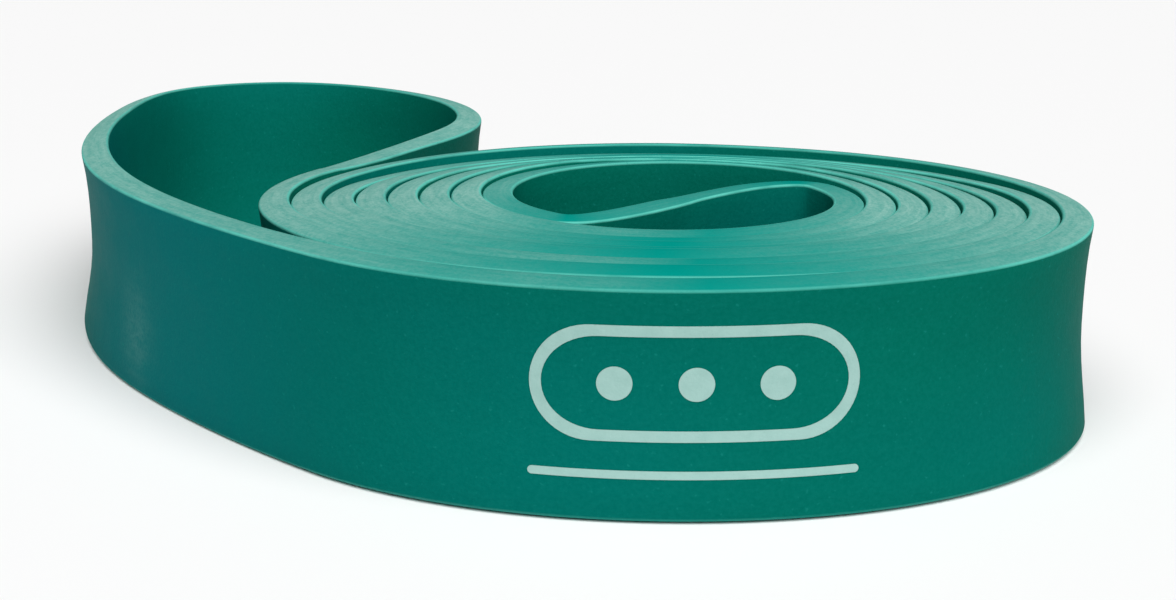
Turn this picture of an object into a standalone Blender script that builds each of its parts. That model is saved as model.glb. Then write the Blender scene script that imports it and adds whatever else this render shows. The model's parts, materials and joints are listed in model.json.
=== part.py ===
"""Loop resistance band, stored as a two-strand roll that stands on its edge.

One moulded latex loop is laid flat, so that it makes two strands, and is rolled up from one end.
The inner bight ends in the middle of the roll; the outer bight stands open as a free loop.
The band is modelled as stretches end to end, one per half turn, with a short chain of links at
the neck where the free loop peels off the roll.

Units are metres. +Z is up, along the band's width. The roll lies towards +X, the loop towards -X +Y.
"""

import math

import bmesh
import bpy
import numpy as np

# The band itself: a 41 inch loop, 1 1/8 inch wide.
BAND_WIDTH = 0.0286
BAND_THICKNESS = 0.0041
LAYER_PITCH = 0.0044
END_GAP = 0.0003

# The roll: strands follow an oval, and each full turn inwards is two layers nearer to it.
OVAL_HALF_LENGTH = 0.0242
OVAL_HALF_DEPTH = 0.0169
OVAL_CENTRE_Y = 0.00345
OUTER_OFFSET = 7.5 * LAYER_PITCH
PITCH_PER_TURN = 2.0 * LAYER_PITCH
FRONT_ANGLE = math.radians(-90.0)

# Turns are counted inwards from the front. Negative turns lie towards the free loop.
OUTER_STRAND_LEAVES = -0.128
OUTER_STRAND_ENDS = 3.903
INNER_STRAND_LEAVES = -0.333
INNER_STRAND_ENDS = 3.347
NECK_TURNS = (-0.061, -0.094, -0.128)
END_BEND_TURNS = (0.25, 0.75, 1.25, 1.75, 2.25, 2.75, 3.25, 3.75)

# Middle lines of the two bights, chosen by hand, in the roll's own plan.
FREE_LOOP_ROUTE = [
    (-0.0392, 0.0480),
    (-0.0327, 0.0650),
    (-0.0335, 0.0840),
    (-0.0460, 0.1045),
    (-0.0680, 0.1128),
    (-0.0852, 0.1035),
    (-0.0915, 0.0800),
    (-0.0897, 0.0480),
    (-0.0815, 0.0205),
    (-0.0660, -0.0050),
]
INNER_BIGHT_ROUTE = [
    (0.0150, 0.0112),
    (0.0070, 0.0070),
    (-0.0005, 0.0008),
    (-0.0075, -0.0050),
]

# Printed mark: a plain ring with three level dots and a rule below it.
PRINT_GAP = 0.00015
PRINT_THICKNESS = 0.0003
PRINT_CENTRE_TURN = 0.003
RING_LENGTH = 0.0390
RING_HEIGHT = 0.0145
RING_STROKE = 0.0014
RING_CENTRE_Z = 0.0168
DOT_DIAMETER = 0.0042
DOT_SPACING = 0.0095
RULE_HEIGHT = 0.0010
RULE_CENTRE_Z = 0.0055
CAP_STEPS = 8

SAMPLE_STEP = 0.0036
RUBBER_COLOUR = (0.0, 0.165, 0.115, 1.0)
INK_COLOUR = (0.36, 0.56, 0.52, 1.0)


def clear_scene():
    """Remove every object that the file starts with."""
    for item in list(bpy.data.objects):
        bpy.data.objects.remove(item, do_unlink=True)


def make_material(name, colour, roughness):
    """Return a non-metallic Principled material."""
    material = bpy.data.materials.new(name)
    material.use_nodes = True
    shader = material.node_tree.nodes["Principled BSDF"]
    shader.inputs["Base Color"].default_value = colour
    shader.inputs["Roughness"].default_value = roughness
    shader.inputs["Metallic"].default_value = 0.0
    return material


def oval_point(turn, offset):
    """Return the plan point whose outward normal is at this turn, offset from the oval."""
    angle = FRONT_ANGLE + 2.0 * math.pi * turn
    normal = np.array([math.cos(angle), math.sin(angle)])
    reach = np.array([OVAL_HALF_LENGTH, OVAL_HALF_DEPTH]) ** 2 * normal
    scale = math.hypot(OVAL_HALF_LENGTH * normal[0], OVAL_HALF_DEPTH * normal[1])
    return reach / scale + offset * normal + np.array([0.0, OVAL_CENTRE_Y])


def outer_strand(turn):
    """Return the middle of the outer strand at this turn."""
    return oval_point(turn, OUTER_OFFSET - PITCH_PER_TURN * turn)


def inner_strand(turn):
    """Return the middle of the inner strand, one layer inside the outer one."""
    return oval_point(turn, OUTER_OFFSET - LAYER_PITCH - PITCH_PER_TURN * turn)


def strand_points(strand, start, end):
    """Return points along a strand between two turns, a sample step apart."""
    rough = np.array([strand(turn) for turn in np.linspace(start, end, 40)])
    length = np.linalg.norm(np.diff(rough, axis=0), axis=1).sum()
    count = max(3, int(math.ceil(length / SAMPLE_STEP)) + 1)
    return np.array([strand(turn) for turn in np.linspace(start, end, count)])


def heading(strand, turn, inwards):
    """Return the unit direction of travel along a strand at this turn."""
    step = 0.0005 if inwards else -0.0005
    ahead = strand(turn + step) - strand(turn - step)
    return ahead / np.linalg.norm(ahead)


def smooth_curve(points, start_heading, end_heading):
    """Return points on the cubic spline through the given points, with fixed end headings."""
    points = np.asarray(points)
    chords = np.linalg.norm(np.diff(points, axis=0), axis=1)
    count = len(points)
    matrix = np.zeros((count, count))
    target = np.zeros((count, 2))
    matrix[0, 0] = 1.0
    target[0] = start_heading
    matrix[-1, -1] = 1.0
    target[-1] = end_heading
    for i in range(1, count - 1):
        before = chords[i - 1]
        after = chords[i]
        matrix[i, i - 1] = after
        matrix[i, i] = 2.0 * (before + after)
        matrix[i, i + 1] = before
        slope_before = (points[i] - points[i - 1]) / before
        slope_after = (points[i + 1] - points[i]) / after
        target[i] = 3.0 * (after * slope_before + before * slope_after)
    slopes = np.linalg.solve(matrix, target)
    curve = []
    for i, chord in enumerate(chords):
        steps = max(2, int(math.ceil(chord / SAMPLE_STEP)))
        for share in np.arange(steps) / steps:
            h00 = 2.0 * share**3 - 3.0 * share**2 + 1.0
            h10 = share**3 - 2.0 * share**2 + share
            h01 = 1.0 - h00
            h11 = share**3 - share**2
            along = h00 * points[i] + h01 * points[i + 1]
            curve.append(along + chord * (h10 * slopes[i] + h11 * slopes[i + 1]))
    curve.append(points[-1])
    return np.array(curve)


def free_loop_curve():
    """Return the loop's middle line, from the inner strand round to the outer strand."""
    start = inner_strand(INNER_STRAND_LEAVES)
    end = outer_strand(OUTER_STRAND_LEAVES)
    return smooth_curve(
        [start, *FREE_LOOP_ROUTE, end],
        heading(inner_strand, INNER_STRAND_LEAVES, inwards=False),
        heading(outer_strand, OUTER_STRAND_LEAVES, inwards=True),
    )


def inner_bight_curve():
    """Return the inner bight's middle line, from the inner strand round to the outer strand."""
    start = inner_strand(INNER_STRAND_ENDS)
    end = outer_strand(OUTER_STRAND_ENDS)
    return smooth_curve(
        [start, *INNER_BIGHT_ROUTE, end],
        heading(inner_strand, INNER_STRAND_ENDS, inwards=True),
        heading(outer_strand, OUTER_STRAND_ENDS, inwards=False),
    )


def split_at(curve, point):
    """Split a curve at its sample nearest to a point, which both halves keep."""
    index = int(np.argmin(np.linalg.norm(curve - np.asarray(point), axis=1)))
    return curve[: index + 1], curve[index:]


def strand_stretches(label, strand, end_bends, last_turn):
    """Return the stretches of one strand, from the neck inwards, as (name, points) pairs."""
    halves = ("front", "back")
    stretches = [
        (f"peel_link_2_{label}", strand_points(strand, NECK_TURNS[2], NECK_TURNS[1])),
        (f"peel_link_1_{label}", strand_points(strand, NECK_TURNS[1], NECK_TURNS[0])),
    ]
    cuts = (NECK_TURNS[0], *end_bends)
    for i, (start, end) in enumerate(zip(cuts[:-1], cuts[1:])):
        name = f"{label}_strand_turn_{i // 2 + 1}_{halves[i % 2]}"
        stretches.append((name, strand_points(strand, start, end)))
    stretches.append((f"{label}_lead", strand_points(strand, cuts[-1], last_turn)))
    return stretches


def reverse_stretches(stretches):
    """Return the same stretches as met when travelling the other way."""
    return [(name, points[::-1]) for name, points in reversed(stretches)]


def join_points(first, second):
    """Join two runs of points that share an end."""
    return np.concatenate([first[:-1], second])


def band_stretches():
    """Return (name, points) for each stretch, in order, once round the whole band."""
    outer = strand_stretches("outer", outer_strand, END_BEND_TURNS, OUTER_STRAND_ENDS)
    inner = strand_stretches("inner", inner_strand, END_BEND_TURNS[:-1], INNER_STRAND_ENDS)
    inner = reverse_stretches(inner)

    tip, crossing = split_at(inner_bight_curve(), INNER_BIGHT_ROUTE[0])
    outer_lead = outer.pop()[1]
    inner_lead = inner.pop(0)[1]
    bight = [
        ("inner_bight_crossing", join_points(outer_lead, crossing[::-1])),
        ("inner_bight_tip", join_points(tip[::-1], inner_lead)),
    ]

    wrap = strand_points(inner_strand, NECK_TURNS[2], INNER_STRAND_LEAVES)
    inner_side, rest = split_at(free_loop_curve(), FREE_LOOP_ROUTE[2])
    loop_tip, rest = split_at(rest, FREE_LOOP_ROUTE[6])
    outer_side, neck_side = split_at(rest, FREE_LOOP_ROUTE[8])
    loop = [
        ("free_loop_inner_wrap", wrap),
        ("free_loop_inner_side", inner_side),
        ("free_loop_tip", loop_tip),
        ("free_loop_outer_side", outer_side),
        ("free_loop_outer_neck", neck_side),
    ]
    return outer + bight + inner + loop


def closed_normals(stretches):
    """Return the band's outward normals, once round, for the points of every stretch."""
    line = np.concatenate([points[:-1] for _, points in stretches])
    travel = np.roll(line, -1, axis=0) - np.roll(line, 1, axis=0)
    travel /= np.linalg.norm(travel, axis=1)[:, None]
    return np.stack([travel[:, 1], -travel[:, 0]], axis=1)


def lay_out_band():
    """Return {node name: (points, normals)}, centred on the origin, and the shift applied."""
    stretches = band_stretches()
    normals = closed_normals(stretches)
    layout = {}
    start = 0
    for name, points in stretches:
        picks = np.arange(start, start + len(points)) % len(normals)
        layout[name] = (points, normals[picks])
        start += len(points) - 1
    edges = []
    for points, outward in layout.values():
        side = outward * BAND_THICKNESS / 2.0
        edges.extend([points + side, points - side])
    edges = np.concatenate(edges)
    print_stands_out = np.array([0.0, PRINT_GAP + PRINT_THICKNESS])
    shift = -(edges.min(axis=0) - print_stands_out + edges.max(axis=0)) / 2.0
    for name, (points, outward) in layout.items():
        layout[name] = (open_end_gaps(points, outward) + shift, outward)
    return layout, shift


def open_end_gaps(points, normals):
    """Pull both ends of a stretch in by half of the gap to the next stretch."""
    points = points.copy()
    for end, inwards in ((0, 1.0), (-1, -1.0)):
        travel = np.array([-normals[end][1], normals[end][0]])
        points[end] += inwards * travel * END_GAP / 2.0
    return points


def add_object(name, mesh, material):
    """Link a mesh to the scene as one named, smooth-shaded object."""
    mesh.materials.append(material)
    mesh.shade_smooth()
    mesh.set_sharp_from_angle(angle=math.radians(30.0))
    item = bpy.data.objects.new(name, mesh)
    bpy.context.scene.collection.objects.link(item)
    return item


def finish_mesh(name, shape, material):
    """Turn a closed bmesh into a named object with its faces pointing out."""
    bmesh.ops.recalc_face_normals(shape, faces=shape.faces)
    mesh = bpy.data.meshes.new(name)
    shape.to_mesh(mesh)
    shape.free()
    return add_object(name, mesh, material)


def build_stretch(name, points, normals, material):
    """Make one stretch of the band: its cross-section swept along the middle line."""
    half = BAND_THICKNESS / 2.0
    shape = bmesh.new()
    rings = []
    for point, normal in zip(points, normals):
        near = point - normal * half
        far = point + normal * half
        corners = ((near, 0.0), (far, 0.0), (far, BAND_WIDTH), (near, BAND_WIDTH))
        rings.append([shape.verts.new((plan[0], plan[1], z)) for plan, z in corners])
    for ring, following in zip(rings[:-1], rings[1:]):
        for i in range(4):
            j = (i + 1) % 4
            shape.faces.new((ring[i], ring[j], following[j], following[i]))
    shape.faces.new(reversed(rings[0]))
    shape.faces.new(rings[-1])
    return finish_mesh(name, shape, material)


def place_on_front(along, height, depth, shift):
    """Return the point proud of the front wall, this far along from the mark's centre."""
    probe = 0.001
    metres_per_turn = np.linalg.norm(
        outer_strand(PRINT_CENTRE_TURN + probe) - outer_strand(PRINT_CENTRE_TURN)
    ) / probe
    turn = PRINT_CENTRE_TURN + along / metres_per_turn
    angle = FRONT_ANGLE + 2.0 * math.pi * turn
    out = BAND_THICKNESS / 2.0 + depth
    place = outer_strand(turn) + shift + out * np.array([math.cos(angle), math.sin(angle)])
    return (place[0], place[1], height)


def stadium_outline(length, height, straight_steps):
    """Return (along, up) points round a bar with round ends, from its right tip over the top."""
    radius = height / 2.0
    reach = length / 2.0 - radius
    top = []
    for step in range(1, CAP_STEPS):
        angle = math.radians(90.0 * step / CAP_STEPS)
        top.append((reach + radius * math.cos(angle), radius * math.sin(angle)))
    for step in range(straight_steps + 1):
        share = step / max(straight_steps, 1)
        top.append((reach * (1.0 - 2.0 * share), radius))
    for step in range(1, CAP_STEPS):
        angle = math.radians(90.0 + 90.0 * step / CAP_STEPS)
        top.append((-reach + radius * math.cos(angle), radius * math.sin(angle)))
    bottom = [(along, -up) for along, up in reversed(top)]
    return [(length / 2.0, 0.0), *top, (-length / 2.0, 0.0), *bottom]


def add_print_rings(shape, outline, centre, shift):
    """Add an outline to a print shape twice: on its back, next to the wall, and on its face."""
    rings = []
    for depth in (PRINT_GAP, PRINT_GAP + PRINT_THICKNESS):
        ring = []
        for along, up in outline:
            place = place_on_front(centre[0] + along, centre[1] + up, depth, shift)
            ring.append(shape.verts.new(place))
        rings.append(ring)
    return rings


def join_rings(shape, first, second):
    """Bridge two rings of the same length with quads."""
    for i in range(len(first)):
        j = (i + 1) % len(first)
        shape.faces.new((first[i], first[j], second[j], second[i]))


def fill_ring(shape, ring):
    """Fill an outline with upright strips, which follow the wall's curve."""
    half = len(ring) // 2
    shape.faces.new((ring[0], ring[1], ring[-1]))
    for i in range(1, half - 1):
        shape.faces.new((ring[i], ring[i + 1], ring[-i - 1], ring[-i]))
    shape.faces.new((ring[half - 1], ring[half], ring[half + 1]))


def print_bar(name, outline, centre, shift, ink):
    """Make a solid patch of ink on the front wall."""
    shape = bmesh.new()
    back, face = add_print_rings(shape, outline, centre, shift)
    join_rings(shape, back, face)
    fill_ring(shape, back)
    fill_ring(shape, face)
    return finish_mesh(name, shape, ink)


def print_ring(name, outer, inner, centre, shift, ink):
    """Make a closed line of ink on the front wall, between two outlines."""
    shape = bmesh.new()
    outer_back, outer_face = add_print_rings(shape, outer, centre, shift)
    inner_back, inner_face = add_print_rings(shape, inner, centre, shift)
    join_rings(shape, outer_back, outer_face)
    join_rings(shape, inner_back, inner_face)
    join_rings(shape, outer_back, inner_back)
    join_rings(shape, outer_face, inner_face)
    return finish_mesh(name, shape, ink)


def build_print(shift, ink):
    """Build the generic mark: a ring, three level dots inside it and a rule below."""
    inside = 2.0 * RING_STROKE
    outer = stadium_outline(RING_LENGTH, RING_HEIGHT, 8)
    inner = stadium_outline(RING_LENGTH - inside, RING_HEIGHT - inside, 8)
    print_ring("printed_ring", outer, inner, (0.0, RING_CENTRE_Z), shift, ink)
    rule = stadium_outline(RING_LENGTH, RULE_HEIGHT, 10)
    print_bar("printed_rule", rule, (0.0, RULE_CENTRE_Z), shift, ink)
    dot = stadium_outline(DOT_DIAMETER, DOT_DIAMETER, 0)
    for i in range(3):
        centre = ((i - 1) * DOT_SPACING, RING_CENTRE_Z)
        print_bar(f"printed_dot_{i + 1}", dot, centre, shift, ink)


def build_band():
    """Build every stretch of the band, and its print."""
    latex = make_material("green_latex", RUBBER_COLOUR, 0.45)
    ink = make_material("mark_ink", INK_COLOUR, 0.5)
    layout, shift = lay_out_band()
    for name, (points, normals) in layout.items():
        build_stretch(name, points, normals, latex)
    build_print(shift, ink)


clear_scene()
build_band()
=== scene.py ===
"""Looks of the loop resistance band: matte moulded latex, rolled up and standing on its edge.

The band is one seamless strap, swept along the same middle line as the CAD model. It is cut only
where the free loop bends away from the roll, into pieces that meet in the middle of each link.
Lengths are in metres. A station is a distance along the band's middle line.
"""

import json
import math

import bmesh
import bpy
import numpy as np
from mathutils import Euler, Matrix, Vector


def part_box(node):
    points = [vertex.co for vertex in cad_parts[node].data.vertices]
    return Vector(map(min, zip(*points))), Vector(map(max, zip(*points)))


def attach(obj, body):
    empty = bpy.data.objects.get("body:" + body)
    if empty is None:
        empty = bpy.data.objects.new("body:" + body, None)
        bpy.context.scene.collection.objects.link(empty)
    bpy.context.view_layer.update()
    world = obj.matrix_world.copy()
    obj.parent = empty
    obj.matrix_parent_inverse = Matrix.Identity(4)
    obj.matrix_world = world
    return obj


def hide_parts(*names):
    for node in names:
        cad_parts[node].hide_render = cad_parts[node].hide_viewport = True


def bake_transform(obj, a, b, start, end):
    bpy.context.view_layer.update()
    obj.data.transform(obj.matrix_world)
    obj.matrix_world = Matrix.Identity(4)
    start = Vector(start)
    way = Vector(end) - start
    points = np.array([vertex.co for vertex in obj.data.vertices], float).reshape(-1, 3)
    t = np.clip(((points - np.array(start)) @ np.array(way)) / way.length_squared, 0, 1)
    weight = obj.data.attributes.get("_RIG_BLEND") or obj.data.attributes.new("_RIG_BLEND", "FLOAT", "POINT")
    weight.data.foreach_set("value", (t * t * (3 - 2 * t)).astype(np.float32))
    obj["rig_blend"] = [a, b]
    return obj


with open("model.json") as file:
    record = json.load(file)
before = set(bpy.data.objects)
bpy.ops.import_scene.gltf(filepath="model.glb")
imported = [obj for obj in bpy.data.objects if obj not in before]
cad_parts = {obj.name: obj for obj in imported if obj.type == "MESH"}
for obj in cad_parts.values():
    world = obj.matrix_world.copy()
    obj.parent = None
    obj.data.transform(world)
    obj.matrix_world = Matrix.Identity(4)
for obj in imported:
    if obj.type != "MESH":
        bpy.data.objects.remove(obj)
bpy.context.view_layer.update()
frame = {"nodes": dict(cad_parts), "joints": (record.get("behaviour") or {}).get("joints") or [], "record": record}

# The band and the plan of its roll, as in the CAD model.
BAND_WIDTH = 0.0286
BAND_THICKNESS = 0.00428
LAYER_PITCH = 0.0044
OVAL_HALF_LENGTH = 0.0242
OVAL_HALF_DEPTH = 0.0169
OVAL_CENTRE_Y = 0.00345
OUTER_OFFSET = 7.5 * LAYER_PITCH
PITCH_PER_TURN = 2.0 * LAYER_PITCH
FRONT_ANGLE = math.radians(-90.0)
OUTER_STRAND_LEAVES = -0.128
OUTER_STRAND_ENDS = 3.903
INNER_STRAND_LEAVES = -0.333
INNER_STRAND_ENDS = 3.347
FREE_LOOP_ROUTE = [
    (-0.0392, 0.0480),
    (-0.0327, 0.0650),
    (-0.0335, 0.0840),
    (-0.0460, 0.1045),
    (-0.0680, 0.1128),
    (-0.0852, 0.1035),
    (-0.0915, 0.0800),
    (-0.0897, 0.0480),
    (-0.0815, 0.0205),
    (-0.0660, -0.0050),
]
INNER_BIGHT_ROUTE = [
    (0.0150, 0.0112),
    (0.0070, 0.0070),
    (-0.0005, 0.0008),
    (-0.0075, -0.0050),
]

# Turns of the outer strand at the neck's three joints. Each joint bends this share of the distance
# between the first two, either side of itself.
NECK_TURNS = (-0.061, -0.094, -0.128)
BEND_REACH = 0.4

# The middle line's points, and the swept mesh.
DENSE_STEP = 0.0004
SAMPLES_PER_TURN = 900
HEADING_STEP = 0.0005
SEAM_TURN = 2.2
SWEEP_STEP = 0.0010
CORNER_RADIUS = 0.00040
CORNER_STEPS = 4
WALL_LEVELS = 11
RIM_LEVELS = 3
RIM_CROWN = 0.00008
SHARP_ANGLE = 50.0

# Strength of the painted highlight on the strap's corners, as shares. The outermost layer's highlight is weaker in
# front and behind.
TOP_OUTER_HIGHLIGHT = 1.0
TOP_INNER_HIGHLIGHT = 0.75
FOOT_HIGHLIGHT = 0.25
OUTERMOST_HIGHLIGHT = 0.45

# How fast the painted reflection on the rims, strongest where they face sideways at the roll's sides, fades
# towards its front and back.
SIDE_REFLECTION_FALLOFF = 1.5

# Patches on the outer wall, partly dust and partly a painted sheen: place in the roll's plan, height, reach along
# and up, strength.
DUST_AND_SHEEN_PATCHES = [
    ((-0.0900, 0.0560), 0.0110, 0.0150, 0.0100, 1.00),
    ((-0.0745, 0.0060), 0.0085, 0.0045, 0.0060, 0.30),
    ((0.0560, -0.0020), 0.0143, 0.0045, 0.0260, 0.30),
]

# Where the wall is tinged with blue, in the roll's plan, and how far that reaches along the band.
COOL_PLACE = (-0.0745, 0.0060)
COOL_REACH = 0.055

# A bent strap's edges curl away from the bend. Each half of the wall bows out by
# FLARE * (square * share**2 + fourth * share**4 - waist), share being 0 at mid height, 1 at the edge.
FLARE = 0.0012
WAIST = 0.75
TOP_BOW = (0.40, 0.35)
FOOT_BOW = (1.84, -0.69)
FLARE_RADIUS = 0.080
FLARE_SMOOTHING = 0.024

# The free loop's left side is curled more than its bend alone would curl it, round this place in the
# roll's plan.
CURLED_PLACE = (-0.0915, 0.0660)
CURLED_REACH = 0.035
EXTRA_CURL = 1.20

# Over these layers, curl and the rims' painted reflection fade inwards to the inner bight's share of what the roll
# has.
BIGHT_LAYERS = (6.8, 7.6)
BIGHT_SHARE = 0.35

# How far each layer's top edge stands above or below the outermost one's. Layers count up from 0 at
# the outer strand's start in front, so the outermost layer at the back is layer 1.
FRONT_STEPS = (0.0000, 0.0006, 0.0004, 0.0006, -0.0002, -0.0004, -0.0008, -0.0008)
BACK_STEPS = (0.0000, 0.0002, -0.0008, -0.0001, 0.0006, 0.0011, 0.0017, 0.0022)
STEP_DEPTH = 0.040

# The top edge also wavers by up to this much, in two waves, each with its reach and its start.
RIM_WAVER = 0.00010
RIM_WAVES = ((0.031, 0.0), (0.0123, 1.3))

# The printed mark: a ring, three dots and a rule, in thin ink on the front wall.
INK_THICKNESS = 0.00007
INK_ROOT = 0.00005
PRINT_CENTRE_TURN = 0.003
RING_LENGTH = 0.0390
RING_HEIGHT = 0.0145
RING_STROKE = 0.0014
RING_CENTRE_Z = 0.0168
DOT_DIAMETER = 0.0042
DOT_SPACING = 0.0095
RULE_HEIGHT = 0.0010
RULE_CENTRE_Z = 0.0055
PRINT_STEP = 0.0009
CAP_STEPS = 14


# ---------------------------------------------------------------- the band's middle line


def oval_point(turn, offset):
    """Return the plan point whose outward normal is at this turn, offset from the oval."""
    angle = FRONT_ANGLE + 2.0 * math.pi * turn
    normal = np.array([math.cos(angle), math.sin(angle)])
    reach = np.array([OVAL_HALF_LENGTH, OVAL_HALF_DEPTH]) ** 2 * normal
    scale = math.hypot(OVAL_HALF_LENGTH * normal[0], OVAL_HALF_DEPTH * normal[1])
    return reach / scale + offset * normal + np.array([0.0, OVAL_CENTRE_Y])


def outer_strand(turn):
    """Return the middle of the outer strand at this turn."""
    return oval_point(turn, OUTER_OFFSET - PITCH_PER_TURN * turn)


def inner_strand(turn):
    """Return the middle of the inner strand, one layer inside the outer one."""
    return oval_point(turn, OUTER_OFFSET - LAYER_PITCH - PITCH_PER_TURN * turn)


def strand_turns(start, end):
    """Return closely spaced turns from start to end."""
    return np.linspace(start, end, int(abs(end - start) * SAMPLES_PER_TURN))


def strand_line(strand, turns):
    """Return the points of a strand at these turns."""
    return np.array([strand(turn) for turn in turns])


def heading(strand, turn, inwards):
    """Return the unit direction of travel along a strand at this turn."""
    step = HEADING_STEP if inwards else -HEADING_STEP
    ahead = strand(turn + step) - strand(turn - step)
    return ahead / np.linalg.norm(ahead)


def smooth_curve(points, start_heading, end_heading):
    """Return points on the cubic spline through the given points, with fixed end headings."""
    points = np.asarray(points)
    chords = np.linalg.norm(np.diff(points, axis=0), axis=1)
    count = len(points)
    matrix = np.zeros((count, count))
    target = np.zeros((count, 2))
    matrix[0, 0] = 1.0
    target[0] = start_heading
    matrix[-1, -1] = 1.0
    target[-1] = end_heading
    for i in range(1, count - 1):
        before = chords[i - 1]
        after = chords[i]
        matrix[i, i - 1] = after
        matrix[i, i] = 2.0 * (before + after)
        matrix[i, i + 1] = before
        slope_before = (points[i] - points[i - 1]) / before
        slope_after = (points[i + 1] - points[i]) / after
        target[i] = 3.0 * (after * slope_before + before * slope_after)
    slopes = np.linalg.solve(matrix, target)
    curve = []
    for i, chord in enumerate(chords):
        steps = max(2, int(math.ceil(chord / DENSE_STEP)))
        for share in np.arange(steps) / steps:
            h00 = 2.0 * share**3 - 3.0 * share**2 + 1.0
            h10 = share**3 - 2.0 * share**2 + share
            h01 = 1.0 - h00
            h11 = share**3 - share**2
            along = h00 * points[i] + h01 * points[i + 1]
            curve.append(along + chord * (h10 * slopes[i] + h11 * slopes[i + 1]))
    curve.append(points[-1])
    return np.array(curve)


def free_loop_curve():
    """Return the loop's middle line, from the inner strand round to the outer strand."""
    start = inner_strand(INNER_STRAND_LEAVES)
    end = outer_strand(OUTER_STRAND_LEAVES)
    return smooth_curve(
        [start, *FREE_LOOP_ROUTE, end],
        heading(inner_strand, INNER_STRAND_LEAVES, inwards=False),
        heading(outer_strand, OUTER_STRAND_LEAVES, inwards=True),
    )


def inner_bight_curve():
    """Return the inner bight's middle line, from the outer strand round to the inner strand."""
    start = inner_strand(INNER_STRAND_ENDS)
    end = outer_strand(OUTER_STRAND_ENDS)
    curve = smooth_curve(
        [start, *INNER_BIGHT_ROUTE, end],
        heading(inner_strand, INNER_STRAND_ENDS, inwards=True),
        heading(outer_strand, OUTER_STRAND_ENDS, inwards=False),
    )
    return curve[::-1]


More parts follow.
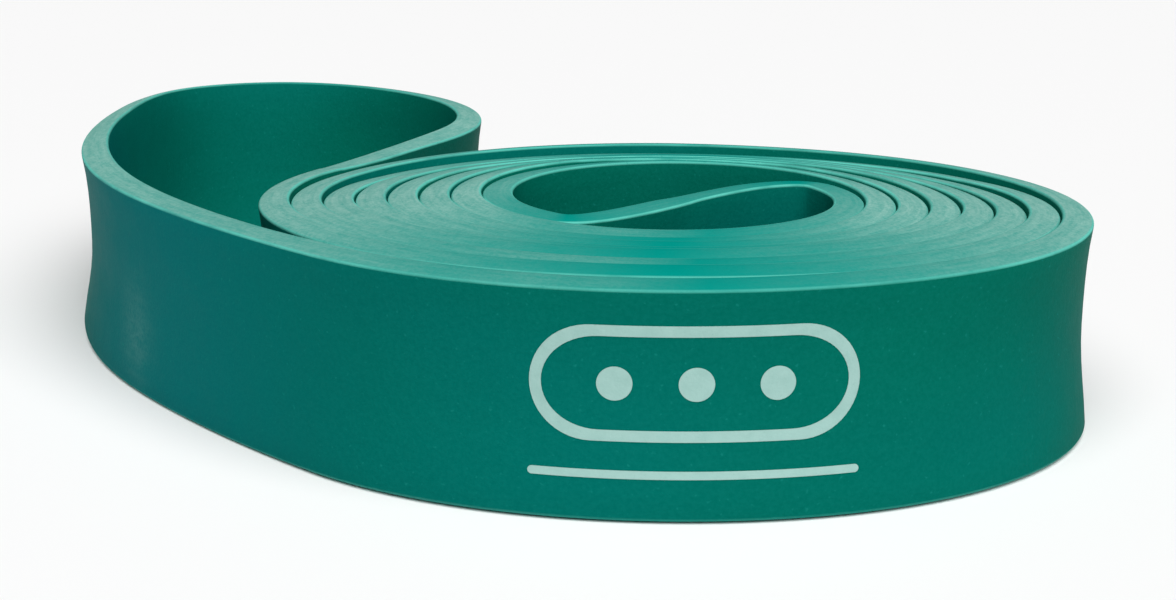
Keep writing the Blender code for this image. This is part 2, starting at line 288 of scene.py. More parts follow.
class BandLine:
    """The closed middle line: from the seam outwards, round the free loop, inwards, and back."""

    def __init__(self):
        self.inner_turns = strand_turns(SEAM_TURN, INNER_STRAND_LEAVES)
        self.outer_turns = strand_turns(OUTER_STRAND_LEAVES, OUTER_STRAND_ENDS)
        last_turns = strand_turns(INNER_STRAND_ENDS, SEAM_TURN)
        loop = free_loop_curve()
        bight = inner_bight_curve()
        runs = [
            (strand_line(inner_strand, self.inner_turns), 2.0 * self.inner_turns + 1.0),
            (loop, np.zeros(len(loop))),
            (strand_line(outer_strand, self.outer_turns), 2.0 * self.outer_turns),
            (bight, np.full(len(bight), 2.0 * OUTER_STRAND_ENDS)),
            (strand_line(inner_strand, last_turns), 2.0 * last_turns + 1.0),
        ]
        self.outer_start = len(self.inner_turns) + len(loop) - 2
        points = np.concatenate([run[:-1] for run, _ in runs])
        layers = np.clip(np.concatenate([layer[:-1] for _, layer in runs]), 0.0, None)

        steps = np.linalg.norm(np.roll(points, -1, axis=0) - points, axis=1)
        self.stations = np.concatenate([[0.0], np.cumsum(steps)[:-1]])
        self.length = float(steps.sum())
        travel = np.roll(points, -1, axis=0) - np.roll(points, 1, axis=0)
        travel /= np.linalg.norm(travel, axis=1)[:, None]
        self.normals = np.stack([travel[:, 1], -travel[:, 0]], axis=1)
        self.layers = layers
        self.steps = self.top_steps(layers, points[:, 1])
        self.shift = self.frame_shift(points)
        self.points = points + self.shift
        curled = self.nearness(self.stations, CURLED_PLACE, CURLED_REACH)
        self.bend = self.bend_shares(travel, steps) * self.kept_share(layers) + EXTRA_CURL * curled

    def bend_shares(self, travel, steps):
        """Return how far each point's section is flared: 1 where bent tightly away from its normal."""
        ahead = np.roll(travel, -1, axis=0)
        turning = travel[:, 0] * ahead[:, 1] - travel[:, 1] * ahead[:, 0]
        grid = np.arange(0.0, self.length, DENSE_STEP)
        bend = self.at(turning / steps, grid)
        reach = int(FLARE_SMOOTHING / DENSE_STEP)
        weights = np.hanning(2 * reach + 1)
        padded = np.concatenate([bend[-reach:], bend, bend[:reach]])
        smooth = np.convolve(padded, weights / weights.sum(), mode="valid")
        return np.tanh(np.interp(self.stations, grid, smooth, period=self.length) * FLARE_RADIUS)

    def kept_share(self, layers):
        """Return how much of the curl and of the rims' painted reflection a layer has: less in the inner bight."""
        return np.interp(layers, BIGHT_LAYERS, (1.0, BIGHT_SHARE))

    def frame_shift(self, points):
        """Return the move from the roll's own plan to the frame's."""
        side = self.normals * BAND_THICKNESS / 2.0
        edges = np.concatenate([points + side, points - side])
        names = [name for name in frame["nodes"] if not name.startswith("printed")]
        corners = np.array([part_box(name) for name in names])[:, :, :2]
        middle = (corners[:, 0].min(axis=0) + corners[:, 1].max(axis=0)) / 2.0
        return middle - (edges.min(axis=0) + edges.max(axis=0)) / 2.0

    def at(self, values, stations):
        """Return values at these stations, which may run past either end of the closed line."""
        return np.interp(stations, self.stations, values, period=self.length)

    def station_near(self, place):
        """Return the station nearest to a place in the roll's own plan."""
        distances = np.linalg.norm(self.points - self.shift - np.asarray(place), axis=1)
        return float(self.stations[int(np.argmin(distances))])

    def apart(self, stations, station):
        """Return how far stations are from one station, the short way round."""
        gap = np.abs(stations - station) % self.length
        return np.minimum(gap, self.length - gap)

    def nearness(self, stations, place, reach):
        """Return 1 at a place in the roll's own plan, fading to 0 along the band."""
        return np.exp(-((self.apart(stations, self.station_near(place)) / reach) ** 2))

    def from_seam(self, station):
        """Return the distance from the seam, the short way round, which never jumps."""
        station = station % self.length
        return min(station, self.length - station)

    def inner_station(self, turn):
        """Return the station of a turn of the inner strand, on its way out to the loop."""
        places = self.stations[: len(self.inner_turns)]
        return float(np.interp(turn, self.inner_turns[::-1], places[::-1]))

    def outer_station(self, turn):
        """Return the station of a turn of the outer strand."""
        places = self.stations[self.outer_start : self.outer_start + len(self.outer_turns) - 1]
        return float(np.interp(turn, self.outer_turns[:-1], places))

    def place(self, stations, across, depth):
        """Return points at these stations, heights on the flat band and depths off its middle."""
        stations, across, depth = np.broadcast_arrays(stations, across, depth)
        normal = [self.at(self.normals[:, axis], stations) for axis in (0, 1)]
        middle = [self.at(self.points[:, axis], stations) for axis in (0, 1)]
        flare = FLARE * self.at(self.bend, stations)
        share = 2.0 * across / BAND_WIDTH - 1.0
        slope = edge_slope(flare, share)
        square, fourth = bow_terms(share)
        bow = square * share**2 + fourth * share**4 - WAIST
        out = flare * bow + depth * np.cos(slope)
        foot = RIM_CROWN + BAND_THICKNESS / 2.0 * np.sin(np.abs(edge_slope(flare, -1.0)))
        height = foot + across - depth * np.sin(slope)
        height = height * (1.0 + self.at(self.steps, stations) / BAND_WIDTH)
        return np.stack([middle[0] + out * normal[0], middle[1] + out * normal[1], height], axis=-1)

    def top_steps(self, layers, depths):
        """Return how far the top edge stands above the band's own width."""
        indices = np.arange(len(FRONT_STEPS))
        front = np.interp(layers, indices, FRONT_STEPS)
        back = np.interp(layers, indices, BACK_STEPS)
        share = np.clip(0.5 + (depths - OVAL_CENTRE_Y) / STEP_DEPTH, 0.0, 1.0)
        waver = sum(np.sin(self.stations / reach + start) for reach, start in RIM_WAVES)
        return front + (back - front) * share + RIM_WAVER / 2.0 * waver


def bow_terms(share):
    """Return the square and fourth power terms of the wall's bow, for the top or the foot."""
    return [np.where(np.asarray(share) > 0.0, TOP_BOW[i], FOOT_BOW[i]) for i in (0, 1)]


def edge_slope(flare, share):
    """Return how far the flared wall leans out, at a share of the way from middle to edge."""
    square, fourth = bow_terms(share)
    rise = 2.0 * square * share + 4.0 * fourth * share**3
    return np.arctan(2.0 * flare / BAND_WIDTH * rise)


# ---------------------------------------------------------------- meshes

# Values that the material reads at each point, all from 0 to 1.
SHARES = ("rim", "corner_highlight", "dust_and_sheen", "cool")


def corner_highlight_strength(end, side):
    """Return how strong the painted highlight on a corner is, at the top (end 1) or the foot (-1), outside (side
    1) or inside.
    """
    if end < 0.0:
        return FOOT_HIGHLIGHT
    return TOP_OUTER_HIGHLIGHT if side > 0.0 else TOP_INNER_HIGHLIGHT


def band_section():
    """Return (across, depth, rim, corner highlight) for each point round the strap's section; the last is the
    share of painted highlight.
    """
    half = BAND_THICKNESS / 2.0
    wall = np.linspace(CORNER_RADIUS, BAND_WIDTH - CORNER_RADIUS, WALL_LEVELS)
    section = [(across, half, 0.0, 0.0) for across in wall]
    flat = half - CORNER_RADIUS
    for end, side in ((1.0, 1.0), (1.0, -1.0), (-1.0, -1.0), (-1.0, 1.0)):
        if end < 0.0 and side < 0.0:
            section.extend((across, -half, 0.0, 0.0) for across in wall[::-1])
        rising = end * side > 0.0
        middle = BAND_WIDTH / 2.0 + end * (BAND_WIDTH / 2.0 - CORNER_RADIUS)
        for step in range(1, CORNER_STEPS + 1):
            share = step / CORNER_STEPS if rising else 1.0 - (step - 1) / CORNER_STEPS
            angle = share * math.pi / 2.0
            across = middle + end * CORNER_RADIUS * math.sin(angle)
            depth = side * (flat + CORNER_RADIUS * math.cos(angle))
            # Painted highlight along the rounded corner, strongest halfway round it.
            corner_highlight = corner_highlight_strength(end, side) * math.sin(2.0 * angle)
            section.append((across, depth, share, corner_highlight))
        if rising:
            for level in range(1, RIM_LEVELS + 1):
                share = level / (RIM_LEVELS + 1)
                crown = RIM_CROWN * math.sin(math.pi * share)
                edge = BAND_WIDTH / 2.0 + end * (BAND_WIDTH / 2.0 + crown)
                section.append((edge, side * flat * (1.0 - 2.0 * share), 1.0, 0.0))
    return np.array(section)


def dust_and_sheen_shares(line, stations, section):
    """Return the share of dust and painted sheen at each point: patches on the outer wall, partly dust and partly
    painted sheen, and a painted reflection on the rims where they face sideways.
    """
    across = section[None, :, 0]
    outside = section[None, :, 1] > 0.0
    dust_and_sheen = np.zeros((len(stations), len(section)))
    # The wall patches are partly dust and partly a painted sheen.
    for place, height, along, up, strength in DUST_AND_SHEEN_PATCHES:
        near = line.nearness(stations, place, along)[:, None]
        level = np.exp(-(((across - height) / up) ** 2))
        dust_and_sheen = np.maximum(dust_and_sheen, strength * near * level * outside)
    # Painted reflection: the rims are lightened where they face sideways, as a grazing reflection would light
    # them.
    side_reflection = np.abs(line.at(line.normals[:, 0], stations)) ** SIDE_REFLECTION_FALLOFF
    side_reflection *= line.kept_share(line.at(line.layers, stations))
    rim = section[None, :, 2]
    return dust_and_sheen * (1.0 - rim) + side_reflection[:, None] * rim


def add_strap(shape, layers, line, start, end):
    """Add a closed length of strap between two stations to a bmesh."""
    section = band_section()
    count = max(2, int(round((end - start) / SWEEP_STEP)) + 1)
    stations = np.linspace(start, end, count)
    places = line.place(stations[:, None], section[None, :, 0], section[None, :, 1])
    dust_and_sheen = dust_and_sheen_shares(line, stations, section)
    sideways = np.abs(line.at(line.normals[:, 0], stations))
    # Painted corner highlight, weaker on the outermost layer where it faces front or back.
    highlight_strength = np.clip(np.maximum(line.at(line.layers, stations), sideways), OUTERMOST_HIGHLIGHT, 1.0)
    cool = line.nearness(stations, COOL_PLACE, COOL_REACH)
    rings = []
    for i, station in enumerate(stations):
        ring = []
        for j, (across, depth, rim, corner_highlight) in enumerate(section):
            vert = shape.verts.new(places[i, j])
            vert[layers["flat_place"]] = Vector((line.from_seam(station), across, depth))
            vert[layers["rim"]] = rim
            vert[layers["corner_highlight"]] = corner_highlight * highlight_strength[i]
            vert[layers["dust_and_sheen"]] = dust_and_sheen[i, j]
            vert[layers["cool"]] = cool[i]
            ring.append(vert)
        rings.append(ring)
    for ring, following in zip(rings[:-1], rings[1:]):
        for i in range(len(ring)):
            j = (i + 1) % len(ring)
            shape.faces.new((ring[i], following[i], following[j], ring[j]))
    shape.faces.new(rings[0])
    shape.faces.new(reversed(rings[-1]))


def new_shape():
    """Return an empty bmesh and its layers for the material's coordinates."""
    shape = bmesh.new()
    shape.verts.layers.float_vector.new("flat_place")
    for name in SHARES:
        shape.verts.layers.float.new(name)
    layers = {name: shape.verts.layers.float[name] for name in SHARES}
    layers["flat_place"] = shape.verts.layers.float_vector["flat_place"]
    return shape, layers


def finish_shape(name, shape, material):
    """Turn a closed bmesh into a named, smooth-shaded piece."""
    bmesh.ops.recalc_face_normals(shape, faces=shape.faces)
    mesh = bpy.data.meshes.new(name)
    shape.to_mesh(mesh)
    shape.free()
    mesh.shade_smooth()
    mesh.set_sharp_from_angle(angle=math.radians(SHARP_ANGLE))
    mesh.materials.append(material)
    piece = bpy.data.objects.new(name, mesh)
    bpy.context.scene.collection.objects.link(piece)
    return piece


def strap_piece(name, line, lengths, material):
    """Make one piece from one or more lengths of strap, given as (start, end) stations."""
    shape, layers = new_shape()
    for start, end in lengths:
        add_strap(shape, layers, line, start, end)
    return finish_shape(name, shape, material)


# ---------------------------------------------------------------- the band's pieces


def neck_cuts(line):
    """Return the stations of the cuts between pieces, on the outer and on the inner strand."""
    half_links = [abs(NECK_TURNS[i + 1] - NECK_TURNS[i]) / 2.0 for i in (0, 1)]
    turns = [
        NECK_TURNS[0] + half_links[0],
        (NECK_TURNS[0] + NECK_TURNS[1]) / 2.0,
        (NECK_TURNS[1] + NECK_TURNS[2]) / 2.0,
    ]
    outer = [line.outer_station(turn) for turn in turns]
    inner = [line.inner_station(turn) for turn in turns]
    outer.append(2.0 * line.outer_station(NECK_TURNS[2]) - outer[2])
    inner.append(line.inner_station(NECK_TURNS[2] - half_links[1]))
    return outer, inner


def build_band(line, latex):
    """Make the rolled part, the three bends of the neck and the free loop."""
    outer, inner = neck_cuts(line)
    nodes = frame["record"]["behaviour"]["bodies"]

    roll = strap_piece("rolled_strap", line, [(outer[0], inner[0] + line.length)], latex)
    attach(roll, "roll")
    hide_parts(*[name for name in nodes["roll"] if not name.startswith("printed")])

    bodies = ("roll", "peel_link_1", "peel_link_2", "free_loop")
    for i, joint in enumerate(frame["joints"]):
        lengths = [(outer[i + 1], outer[i]), (inner[i], inner[i + 1])]
        bend = strap_piece(f"neck_strap_{i + 1}", line, lengths, latex)
        start, end = bend_ends(line, i, joint)
        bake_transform(bend, bodies[i], bodies[i + 1], start=start, end=end)
        if i < 2:
            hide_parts(*nodes[bodies[i + 1]])

    loop = strap_piece("free_loop_strap", line, [(inner[3], outer[3])], latex)
    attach(loop, "free_loop")
    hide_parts(*nodes["free_loop"])


def bend_ends(line, index, joint):
    """Return where a neck piece starts and stops bending, either side of its joint."""
    reach = BEND_REACH * abs(line.outer_station(NECK_TURNS[0]) - line.outer_station(NECK_TURNS[1]))
    along = heading(outer_strand, NECK_TURNS[index], inwards=False)
    middle = Vector(joint["pos_m"])
    step = Vector((along[0], along[1], 0.0)) * reach
    return middle - step, middle + step


# ---------------------------------------------------------------- the printed mark


def stadium_outline(length, height):
    """Return (along, up) points round a bar with round ends, from its right tip over the top."""
    radius = height / 2.0
    reach = length / 2.0 - radius
    straight_steps = int(round(2.0 * reach / PRINT_STEP))
    top = []
    for step in range(1, CAP_STEPS):
        angle = math.radians(90.0 * step / CAP_STEPS)
        top.append((reach + radius * math.cos(angle), radius * math.sin(angle)))
    for step in range(straight_steps + 1):
        share = step / max(straight_steps, 1)
        top.append((reach * (1.0 - 2.0 * share), radius))
    for step in range(1, CAP_STEPS):
        angle = math.radians(90.0 + 90.0 * step / CAP_STEPS)
        top.append((-reach + radius * math.cos(angle), radius * math.sin(angle)))
    bottom = [(along, -up) for along, up in reversed(top)]
    return [(length / 2.0, 0.0), *top, (-length / 2.0, 0.0), *bottom]


def add_ink_ring(shape, layers, line, outline, centre, depth):
    """Add an outline, laid on the front wall at this depth off it, as a ring of points."""
    middle = line.outer_station(PRINT_CENTRE_TURN)
    ring = []
    for along, up in outline:
        station = middle + along + centre[0]
        across = up + centre[1]
        vert = shape.verts.new(line.place(station, across, BAND_THICKNESS / 2.0 + depth))
        vert[layers["flat_place"]] = Vector((line.from_seam(station), across, 0.0))
        ring.append(vert)
    return ring


def join_rings(shape, first, second):
    """Bridge two rings of the same length with quads."""
    for i in range(len(first)):
        j = (i + 1) % len(first)
        shape.faces.new((first[i], first[j], second[j], second[i]))


def fill_ring(shape, ring):
    """Fill an outline with upright strips, which follow the wall's curve."""
    half = len(ring) // 2
    shape.faces.new((ring[0], ring[1], ring[-1]))
    for i in range(1, half - 1):
        shape.faces.new((ring[i], ring[i + 1], ring[-i - 1], ring[-i]))
    shape.faces.new((ring[half - 1], ring[half], ring[half + 1]))


def ink_piece(name, line, outlines, centre, ink):
    """Make a patch of ink inside one outline, or a closed line of ink between two."""
    shape, layers = new_shape()
    rings = []
    for outline in outlines:
        back = add_ink_ring(shape, layers, line, outline, centre, -INK_ROOT)
        face = add_ink_ring(shape, layers, line, outline, centre, INK_THICKNESS)
        join_rings(shape, back, face)
        rings.append((back, face))
    if len(rings) == 1:
        fill_ring(shape, rings[0][0])
        fill_ring(shape, rings[0][1])
    else:
        join_rings(shape, rings[0][0], rings[1][0])
        join_rings(shape, rings[0][1], rings[1][1])
    piece = finish_shape(f"{name}_ink", shape, ink)
    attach(piece, "roll")
    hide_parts(name)


def build_print(line, ink):
    """Make the generic mark: a ring, three level dots inside it and a rule below."""
    outside = stadium_outline(RING_LENGTH, RING_HEIGHT)
    shrink = [1.0 - 2.0 * RING_STROKE / size for size in (RING_LENGTH, RING_HEIGHT)]
    inside = [(along * shrink[0], up * shrink[1]) for along, up in outside]
    ink_piece("printed_ring", line, [outside, inside], (0.0, RING_CENTRE_Z), ink)
    rule = stadium_outline(RING_LENGTH, RULE_HEIGHT)
    ink_piece("printed_rule", line, [rule], (0.0, RULE_CENTRE_Z), ink)
    dot = stadium_outline(DOT_DIAMETER, DOT_DIAMETER)
    for i in range(3):
        centre = ((i - 1) * DOT_SPACING, RING_CENTRE_Z)
        ink_piece(f"printed_dot_{i + 1}", line, [dot], centre, ink)


# ---------------------------------------------------------------- materials

DEEP_GREEN = (0.0, 0.112, 0.078, 1.0)
BLUE_GREEN = (0.0, 0.138, 0.142, 1.0)
WARM_GREEN = (0.0, 0.128, 0.084, 1.0)
# The rims' green, lighter than the walls': partly dusting powder, partly a painted highlight on the upward faces.
RIM_DUST_AND_HIGHLIGHT_GREEN = (0.0, 0.255, 0.212, 1.0)
SPECK_GREEN = (0.010, 0.230, 0.190, 1.0)
# Pale grey-green of dust, also used for the painted sheen on the walls and the painted reflection on the rims.
DUST_AND_SHEEN_GREEN = (0.245, 0.475, 0.415, 1.0)
# Painted highlight along the strap's corners.
CORNER_HIGHLIGHT_GREEN = (0.130, 0.600, 0.500, 1.0)
INK_PALE = (0.290, 0.480, 0.440, 1.0)
INK_THIN = (0.200, 0.380, 0.340, 1.0)
FLOOR_GREY = (0.900, 0.900, 0.900, 1.0)

# Noise patterns, as waves a metre along, across and through the band.
GRAIN = (2000.0, 2000.0, 2000.0)
SPECKS = (1400.0, 1400.0, 1400.0)
STREAKS = (38.0, 700.0, 2200.0)
MOTTLE = (170.0, 420.0, 900.0)
# Breaks up the painted corner highlight.
HIGHLIGHT_BREAKUP = (120.0, 300.0, 300.0)
WAVES = (110.0, 130.0, 130.0)
CLOUDS = (22.0, 60.0, 60.0)
CHALKED_LENGTHS = (14.0, 8.0, 8.0)
BROAD_TINGE = (9.0, 16.0, 16.0)
INK_GRAIN = (2600.0, 2600.0, 2600.0)
INK_PORES = (2400.0, 2400.0, 2400.0)
INK_PATCHES = (500.0, 500.0, 500.0)

# How strongly each pattern covers the colour below it.
CLOUD_COVER = 0.5
TINGE_COVER = 0.35
STREAK_COVER = 0.5
# How strongly the patches of dust and painted sheen cover the wall.
DUST_AND_SHEEN_COVER = 0.32
GRAIN_COVER = 0.12
# How strongly the painted reflection covers the rims at the roll's sides.
SIDE_REFLECTION_COVER = 0.78
LENGTH_COVER = 0.32
RIM_COVER = 0.42
# Least strength and spread of the painted corner highlight.
HIGHLIGHT_LEAST = 0.30
HIGHLIGHT_SPREAD = 0.55
SPECK_COVER = 0.35
PATCH_COVER = 0.35
PORE_COVER = 0.5

# Roughness, shine and the heights of the bumps.
ROUGHNESS = 0.45
CLOUD_ROUGHNESS = 0.08
RIM_ROUGHNESS = 0.10
PATCH_ROUGHNESS = 0.12
FLOOR_ROUGHNESS = 0.75
LATEX_GLOSS = 0.006
FLOOR_GLOSS = 0.2
GRAIN_HEIGHT = 0.00005
STREAK_HEIGHT = 0.00003
WAVE_HEIGHT = 0.00025
INK_HEIGHT = 0.00003


class Nodes:
    """Short calls for building one material's node tree."""

    def __init__(self, name):
        self.material = bpy.data.materials.new(name)
        self.material.use_nodes = True
        self.tree = self.material.node_tree
        self.shader = self.tree.nodes["Principled BSDF"]

    def add(self, kind, **settings):
        """Add a node and set its properties."""
        node = self.tree.nodes.new(kind)
        for name, value in settings.items():
            setattr(node, name, value)
        return node

    def link(self, source, target):
        """Connect an output to an input."""
        self.tree.links.new(source, target)

    def attribute(self, name, output="Fac"):
        """Return an output of a mesh attribute."""
        return self.add("ShaderNodeAttribute", attribute_name=name).outputs[output]

    def stretched(self, scale):
        """Return the flat band's own coordinates, scaled along, across and through it."""
        node = self.add("ShaderNodeVectorMath", operation="MULTIPLY")
        self.link(self.attribute("flat_place", "Vector"), node.inputs[0])
        node.inputs[1].default_value = scale
        return node.outputs[0]

    def noise(self, scale, detail=3.0, roughness=0.55):
        """Return noise with so many waves a metre along, across and through the band."""
        node = self.add("ShaderNodeTexNoise")
        node.inputs["Scale"].default_value = 1.0
        node.inputs["Detail"].default_value = detail
        node.inputs["Roughness"].default_value = roughness
        self.link(self.stretched(scale), node.inputs["Vector"])
        return node.outputs["Fac"]

    def ramp(self, value, low, high):
        """Return a value spread from low..high to 0..1, with soft ends."""
        node = self.add("ShaderNodeMapRange", interpolation_type="SMOOTHSTEP")
        self.link(value, node.inputs["Value"])
        node.inputs["From Min"].default_value = low
        node.inputs["From Max"].default_value = high
        return node.outputs["Result"]

    def math(self, operation, first, second):
        """Return a sum, product or the like of two values."""
        node = self.add("ShaderNodeMath", operation=operation)
        for socket, value in zip(node.inputs, (first, second)):
            if isinstance(value, (int, float)):
                socket.default_value = value
            else:
                self.link(value, socket)
        return node.outputs[0]

    def mix(self, share, first, second):
        """Return a mix of two colours."""
        node = self.add("ShaderNodeMix", data_type="RGBA")
        sockets = [socket for socket in node.inputs if socket.enabled]
        for socket, value in zip(sockets, (share, first, second)):
            if isinstance(value, (int, float, tuple)):
                socket.default_value = value
            else:
                self.link(value, socket)
        return next(socket for socket in node.outputs if socket.enabled)

    def bump(self, height, distance, before=None):
        """Return a surface normal bumped by a height, over an earlier bump."""
        node = self.add("ShaderNodeBump")
        node.inputs["Strength"].default_value = 1.0
        node.inputs["Distance"].default_value = distance
        self.link(height, node.inputs["Height"])
        if before is not None:
            self.link(before, node.inputs["Normal"])
        return node.outputs["Normal"]


def latex_material():
    """Matte moulded latex: rims lighter from dust and a painted highlight, a painted reflection on the rims at the
    roll's sides, wall patches of dust and painted sheen, a painted highlight along the corners, faint clouds and
    specks.
    """
    n = Nodes("moulded_latex")
    grain = n.noise(GRAIN, roughness=0.7)
    streaks = n.noise(STREAKS)
    clouds = n.ramp(n.noise(CLOUDS), 0.35, 0.68)
    rim = n.attribute("rim")

    patchiness = patchiness_texture(n, grain, streaks)
    wall = wall_colour(n, clouds, grain, patchiness)
    base_colour = n.mix(rim, wall, rim_colour(n, patchiness))
    n.link(highlights_and_specks(n, base_colour), n.shader.inputs["Base Color"])

    roughness = n.math("ADD", ROUGHNESS, n.math("MULTIPLY", clouds, CLOUD_ROUGHNESS))
    roughness = n.math("ADD", roughness, n.math("MULTIPLY", rim, RIM_ROUGHNESS))
    n.link(roughness, n.shader.inputs["Roughness"])

    waves = n.noise(WAVES, detail=2.0)
    normal = n.bump(grain, GRAIN_HEIGHT)
    normal = n.bump(streaks, STREAK_HEIGHT, normal)
    normal = n.bump(waves, WAVE_HEIGHT, normal)
    n.link(normal, n.shader.inputs["Normal"])
    n.shader.inputs["Specular IOR Level"].default_value = LATEX_GLOSS
    return n.material


def patchiness_texture(n, grain, streaks):
    """Return the mottling of the dust and the painted sheen, from its own mottle, the grain and the moulding
    streaks.
    """
    mottle = n.noise(MOTTLE, detail=4.0, roughness=0.65)
    texture = n.math("ADD", n.ramp(mottle, 0.30, 0.72), n.ramp(grain, 0.30, 0.70))
    return n.math("ADD", texture, n.math("MULTIPLY", n.ramp(streaks, 0.35, 0.75), STREAK_COVER))


def wall_colour(n, clouds, grain, patchiness):
    """Return the walls' green: clouded, tinged with blue in places, paler in patches of dust and painted sheen,
    grained.
    """
    broad = n.ramp(n.noise(BROAD_TINGE, detail=1.0), 0.40, 0.65)
    cool = n.math("MAXIMUM", n.attribute("cool"), n.math("MULTIPLY", broad, TINGE_COVER))
    wall = n.mix(n.math("MULTIPLY", clouds, CLOUD_COVER), DEEP_GREEN, WARM_GREEN)
    wall = n.mix(cool, wall, BLUE_GREEN)
    # Patches of dust and painted sheen on the outer wall.
    cover = n.math("MULTIPLY", n.math("MULTIPLY", patchiness, DUST_AND_SHEEN_COVER), n.attribute("dust_and_sheen"))
    wall = n.mix(cover, wall, DUST_AND_SHEEN_GREEN)
    grained = n.math("MULTIPLY", n.ramp(grain, 0.30, 0.70), GRAIN_COVER)
    return n.mix(grained, wall, SPECK_GREEN)


def rim_colour(n, patchiness):
    """Return the rims' green, lighter than the walls' from dust and a painted highlight, with a painted reflection
    at the roll's sides and dust on some lengths of the band.
    """
    lengths = n.ramp(n.noise(CHALKED_LENGTHS, detail=1.0), 0.50, 0.66)
    # Painted reflection on the rims, where they face sideways at the roll's sides.
    sides = n.math("MULTIPLY", n.attribute("dust_and_sheen"), SIDE_REFLECTION_COVER)
    cover = n.math("MAXIMUM", sides, n.math("MULTIPLY", lengths, LENGTH_COVER))
    thickness = n.math("ADD", RIM_COVER, n.math("MULTIPLY", patchiness, RIM_COVER))
    cover = n.math("MULTIPLY", cover, thickness)
    return n.mix(cover, RIM_DUST_AND_HIGHLIGHT_GREEN, DUST_AND_SHEEN_GREEN)


def highlights_and_specks(n, colour):
    """Return a colour with a painted highlight along the corners and fine specks over it."""
    # Painted highlight along the corners, broken up by noise.
    breakup = n.ramp(n.noise(HIGHLIGHT_BREAKUP), 0.20, 0.62)
    highlight_strength = n.math("ADD", HIGHLIGHT_LEAST, n.math("MULTIPLY", breakup, HIGHLIGHT_SPREAD))
    colour = n.mix(n.math("MULTIPLY", n.attribute("corner_highlight"), highlight_strength), colour, CORNER_HIGHLIGHT_GREEN)
    specks = n.ramp(n.noise(SPECKS, detail=1.0), 0.66, 0.80)
    return n.mix(n.math("MULTIPLY", specks, SPECK_COVER), colour, SPECK_GREEN)


def ink_material():
    """Pale grey-green printing ink, a little thin in places."""
    n = Nodes("printing_ink")
    patches = n.ramp(n.noise(INK_PATCHES, detail=4.0), 0.35, 0.75)
    pores = n.ramp(n.noise(INK_PORES, detail=2.0), 0.66, 0.76)
    colour = n.mix(n.math("MULTIPLY", patches, PATCH_COVER), INK_PALE, INK_THIN)
    colour = n.mix(n.math("MULTIPLY", pores, PORE_COVER), colour, INK_THIN)
    n.link(colour, n.shader.inputs["Base Color"])
    roughness = n.math("ADD", ROUGHNESS, n.math("MULTIPLY", patches, PATCH_ROUGHNESS))
    n.link(roughness, n.shader.inputs["Roughness"])
    grain = n.noise(INK_GRAIN, detail=2.0)
    n.link(n.bump(grain, INK_HEIGHT), n.shader.inputs["Normal"])
    return n.material


def floor_material():
    """Plain pale floor."""
    n = Nodes("pale_floor")
    n.shader.inputs["Base Color"].default_value = FLOOR_GREY
    n.shader.inputs["Roughness"].default_value = FLOOR_ROUGHNESS
    n.shader.inputs["Specular IOR Level"].default_value = FLOOR_GLOSS
    return n.material


# ---------------------------------------------------------------- floor, light and camera

CAMERA_PLACE = (0.0068, -0.3288, 0.0880)
CAMERA_TILT = 76.2
CAMERA_ROLL = 0.58
SENSOR_WIDTH = 36.0
LENS = 67.35
FLOOR_SIZE = 8.0

# The world glows a little, from dim in front to stronger behind, over this range of directions. The
# camera sees it as an even, pale backdrop.
GLOW_FROM = -0.35
GLOW_TO = 0.35
FRONT_GLOW = 0.021
BACK_GLOW = 0.055
BACKDROP = 0.96

# One broad sun, and how it is turned, in degrees.
KEY_STRENGTH = 4.1
KEY_SPREAD = 70.0
KEY_TURN = (35.0, 0.0, 13.0)


def build_floor():
    """Lay a plain pale floor under the band."""
    bpy.ops.mesh.primitive_plane_add(size=FLOOR_SIZE, location=(0.0, 0.0, 0.0))
    floor = bpy.context.active_object
    floor.name = "floor"
    floor.data.materials.append(floor_material())


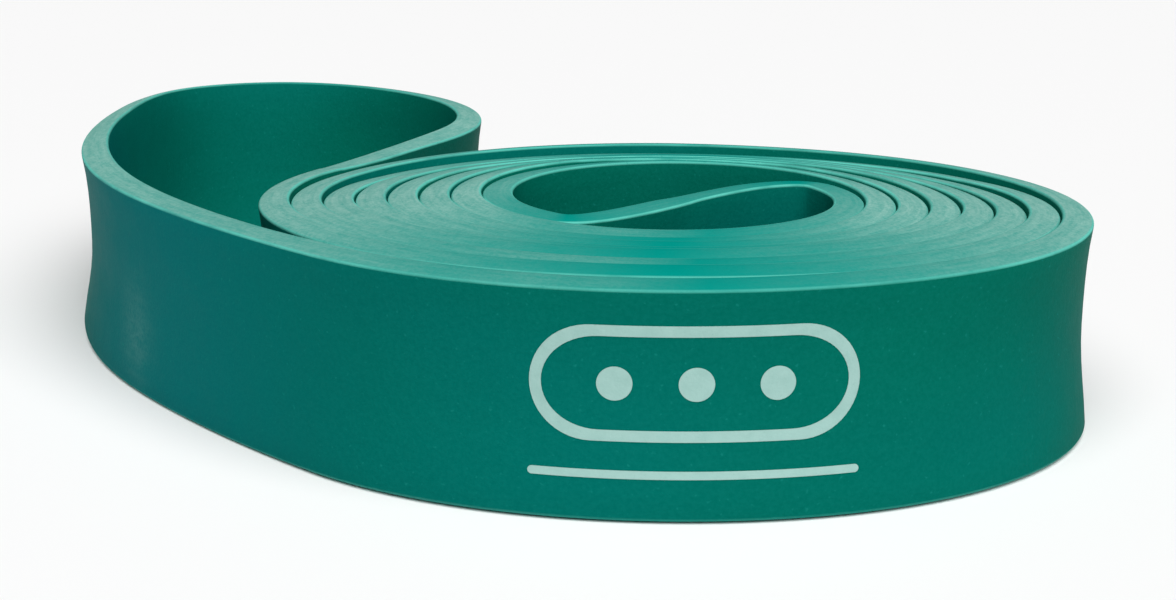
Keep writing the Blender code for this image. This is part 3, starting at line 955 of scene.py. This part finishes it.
def build_world():
    """Set a faint glow, stronger from behind the band, that the camera sees as a pale backdrop."""
    world = bpy.data.worlds.new("studio")
    world.use_nodes = True
    tree = world.node_tree
    background = tree.nodes["Background"]
    background.inputs["Color"].default_value = (1.0, 1.0, 1.0, 1.0)
    direction = tree.nodes.new("ShaderNodeTexCoord")
    parts = tree.nodes.new("ShaderNodeSeparateXYZ")
    tree.links.new(direction.outputs["Generated"], parts.inputs[0])
    spread = tree.nodes.new("ShaderNodeMapRange")
    spread.interpolation_type = "SMOOTHSTEP"
    spread.inputs["From Min"].default_value = GLOW_FROM
    spread.inputs["From Max"].default_value = GLOW_TO
    spread.inputs["To Min"].default_value = FRONT_GLOW
    spread.inputs["To Max"].default_value = BACK_GLOW
    tree.links.new(parts.outputs["Y"], spread.inputs["Value"])
    seen = tree.nodes.new("ShaderNodeLightPath")
    choice = tree.nodes.new("ShaderNodeMix")
    tree.links.new(seen.outputs["Is Camera Ray"], choice.inputs["Factor"])
    tree.links.new(spread.outputs["Result"], choice.inputs["A"])
    choice.inputs["B"].default_value = BACKDROP
    tree.links.new(choice.outputs["Result"], background.inputs["Strength"])
    bpy.context.scene.world = world


def build_lights():
    """Set soft light from above and in front, a little from the right."""
    build_world()
    light = bpy.data.lights.new("soft_key", "SUN")
    light.energy = KEY_STRENGTH
    light.angle = math.radians(KEY_SPREAD)
    lamp = bpy.data.objects.new("soft_key", light)
    lamp.rotation_euler = Euler([math.radians(angle) for angle in KEY_TURN])
    bpy.context.scene.collection.objects.link(lamp)


def build_camera():
    """Look at the band from the front, a little from above."""
    data = bpy.data.cameras.new("camera")
    data.sensor_width = SENSOR_WIDTH
    data.lens = LENS
    camera = bpy.data.objects.new("camera", data)
    turn = Euler((math.radians(CAMERA_TILT), 0.0, 0.0)).to_matrix().to_4x4()
    roll = Matrix.Rotation(math.radians(CAMERA_ROLL), 4, "Z")
    camera.matrix_world = Matrix.Translation(CAMERA_PLACE) @ turn @ roll
    bpy.context.scene.collection.objects.link(camera)
    bpy.context.scene.camera = camera


bpy.context.scene.view_settings.view_transform = "Standard"
build_camera()
build_floor()
build_lights()
band_line = BandLine()
build_band(band_line, latex_material())
build_print(band_line, ink_material())
